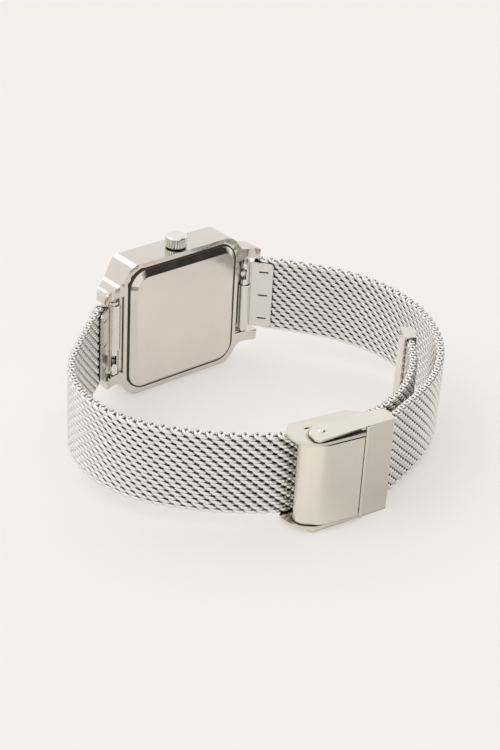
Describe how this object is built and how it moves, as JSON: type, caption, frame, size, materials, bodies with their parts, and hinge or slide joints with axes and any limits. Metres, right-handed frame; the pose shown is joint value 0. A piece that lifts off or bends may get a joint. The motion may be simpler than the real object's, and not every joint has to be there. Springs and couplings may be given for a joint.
{
  "type": "square wristwatch",
  "caption": "Square wristwatch with a steel case, a crown and a woven mesh band that closes with a hinged lever clasp and a sliding lock.",
  "frame": {"origin": "middle of the case back's outer face, which rests on the wrist", "axes": "+X from the left lugs to the right lugs, +Y from the wrist towards the dial, +Z towards the crown"},
  "size_m": [0.0661, 0.0626, 0.0273],
  "materials": {
    "case_steel": "stainless steel, brushed faces with polished slants",
    "polished_steel": "polished stainless steel",
    "mesh_steel": "woven stainless wire, flattened and brushed",
    "sheet_steel": "satin stainless sheet",
    "crystal": "clear mineral glass",
    "dial_paint": "matt dark paint",
    "seal_rubber": "black nitrile rubber",
    "holder_plastic": "moulded plastic",
    "movement_brass": "rolled brass",
    "movement_steel": "turned steel",
    "copper_wire": "enamelled copper winding",
    "board": "glass-fibre circuit board"
  },
  "bodies": {
    "case": {"case_middle": "case_steel", "case_back": "case_steel", "case_back_gasket": "seal_rubber", "crystal": "crystal", "crystal_gasket": "seal_rubber", "dial": "dial_paint", "hour_markers": "polished_steel", "movement_holder": "holder_plastic", "main_plate": "movement_brass", "train_bridge": "movement_brass", "battery": "movement_steel", "battery_clip": "movement_steel", "coil": "copper_wire", "coil_core": "movement_steel", "stator": "movement_steel", "circuit_board": "board", "quartz_can": "movement_steel", "crown_tube": "movement_steel", "spring_bar_left": "polished_steel", "spring_bar_right": "polished_steel"},
    "clutch": {"clutch_wheel": "movement_steel"},
    "crown": {"crown": "polished_steel", "crown_gasket": "seal_rubber", "stem": "movement_steel"},
    "third_wheel": {"third_wheel": "movement_brass"},
    "centre_wheel": {"centre_wheel": "movement_brass", "minute_hand": "polished_steel"},
    "hour_wheel": {"hour_wheel": "movement_brass", "hour_hand": "polished_steel"},
    "minute_wheel": {"minute_wheel": "movement_brass"},
    "fourth_wheel": {"fourth_wheel": "movement_brass"},
    "rotor": {"rotor": "movement_steel"},
    "strap_long": {"strap_long": "mesh_steel", "end_piece_left": "sheet_steel", "tail_cap": "sheet_steel", "clasp_slider": "case_steel"},
    "strap_short": {"strap_short": "mesh_steel", "end_piece_right": "sheet_steel", "strap_hook": "sheet_steel"},
    "clasp_arm": {"clasp_arm": "case_steel", "clasp_rivets": "polished_steel", "clasp_hook_pin": "polished_steel"},
    "lock_flap": {"lock_flap": "case_steel"},
    "release_left": {"release_pin_left": "polished_steel"},
    "release_right": {"release_pin_right": "polished_steel"}
  },
  "joints": [
    {"name": "crown_turn", "type": "hinge", "parent": "case", "child": "clutch", "pos_m": [0, 0.0034, 0.005], "axis": [0, 0, 1], "continuous": true},
    {"name": "crown_pull", "type": "slide", "parent": "clutch", "child": "crown", "axis": [0, 0, 1], "range_m": [0, 0.001]},
    {"name": "third_wheel_turn", "type": "hinge", "parent": "case", "child": "third_wheel", "pos_m": [0.0015, 0.003, -0.00259], "axis": [0, 1, 0], "continuous": true},
    {"name": "centre_wheel_turn", "type": "hinge", "parent": "case", "child": "centre_wheel", "pos_m": [0, 0.003, 0], "axis": [0, 1, 0], "continuous": true},
    {"name": "hour_wheel_turn", "type": "hinge", "parent": "case", "child": "hour_wheel", "pos_m": [0, 0.003, 0], "axis": [0, 1, 0], "continuous": true},
    {"name": "minute_wheel_turn", "type": "hinge", "parent": "case", "child": "minute_wheel", "pos_m": [-0.00218, 0.003, 0.00126], "axis": [0, 1, 0], "continuous": true},
    {"name": "fourth_wheel_turn", "type": "hinge", "parent": "case", "child": "fourth_wheel", "pos_m": [0.00423, 0.003, -0.00259], "axis": [0, 1, 0], "continuous": true},
    {"name": "rotor_turn", "type": "hinge", "parent": "case", "child": "rotor", "pos_m": [0.00496, 0.003, -0.00449], "axis": [0, 1, 0], "continuous": true},
    {"name": "strap_long_swing", "type": "hinge", "parent": "case", "child": "strap_long", "pos_m": [-0.0144, 0.0015, 0], "axis": [0, 0, -1], "range_deg": [0, 5]},
    {"name": "strap_short_swing", "type": "hinge", "parent": "case", "child": "strap_short", "pos_m": [0.0144, 0.0015, 0], "axis": [0, 0, 1], "range_deg": [0, 12]},
    {"name": "clasp_arm_open", "type": "hinge", "parent": "strap_long", "child": "clasp_arm", "pos_m": [-0.01473, -0.05128, 0], "axis": [0, 0, -1], "range_deg": [0, 100]},
    {"name": "lock_flap_lift", "type": "hinge", "parent": "strap_long", "child": "lock_flap", "pos_m": [-0.01576, -0.04975, 0], "axis": [0, 0, -1], "range_deg": [0, 35]},
    {"name": "release_left_push", "type": "slide", "parent": "case", "child": "release_left", "axis": [0, 0, 1], "range_m": [0, 0.0011], "stiffness_N_per_m": 100},
    {"name": "release_right_push", "type": "slide", "parent": "case", "child": "release_right", "axis": [0, 0, -1], "range_m": [0, 0.0011], "stiffness_N_per_m": 100}
  ],
  "couplings": [
    {"joint": "centre_wheel_turn", "follows": "third_wheel_turn", "ratio": -0.13333},
    {"joint": "hour_wheel_turn", "follows": "third_wheel_turn", "ratio": -0.011111},
    {"joint": "minute_wheel_turn", "follows": "third_wheel_turn", "ratio": 0.044444},
    {"joint": "fourth_wheel_turn", "follows": "third_wheel_turn", "ratio": -8},
    {"joint": "rotor_turn", "follows": "third_wheel_turn", "ratio": 12},
    {"joint": "strap_long_swing", "follows": "clasp_arm_open", "ratio": 0.05},
    {"joint": "strap_short_swing", "follows": "clasp_arm_open", "ratio": 0.12}
  ]
}
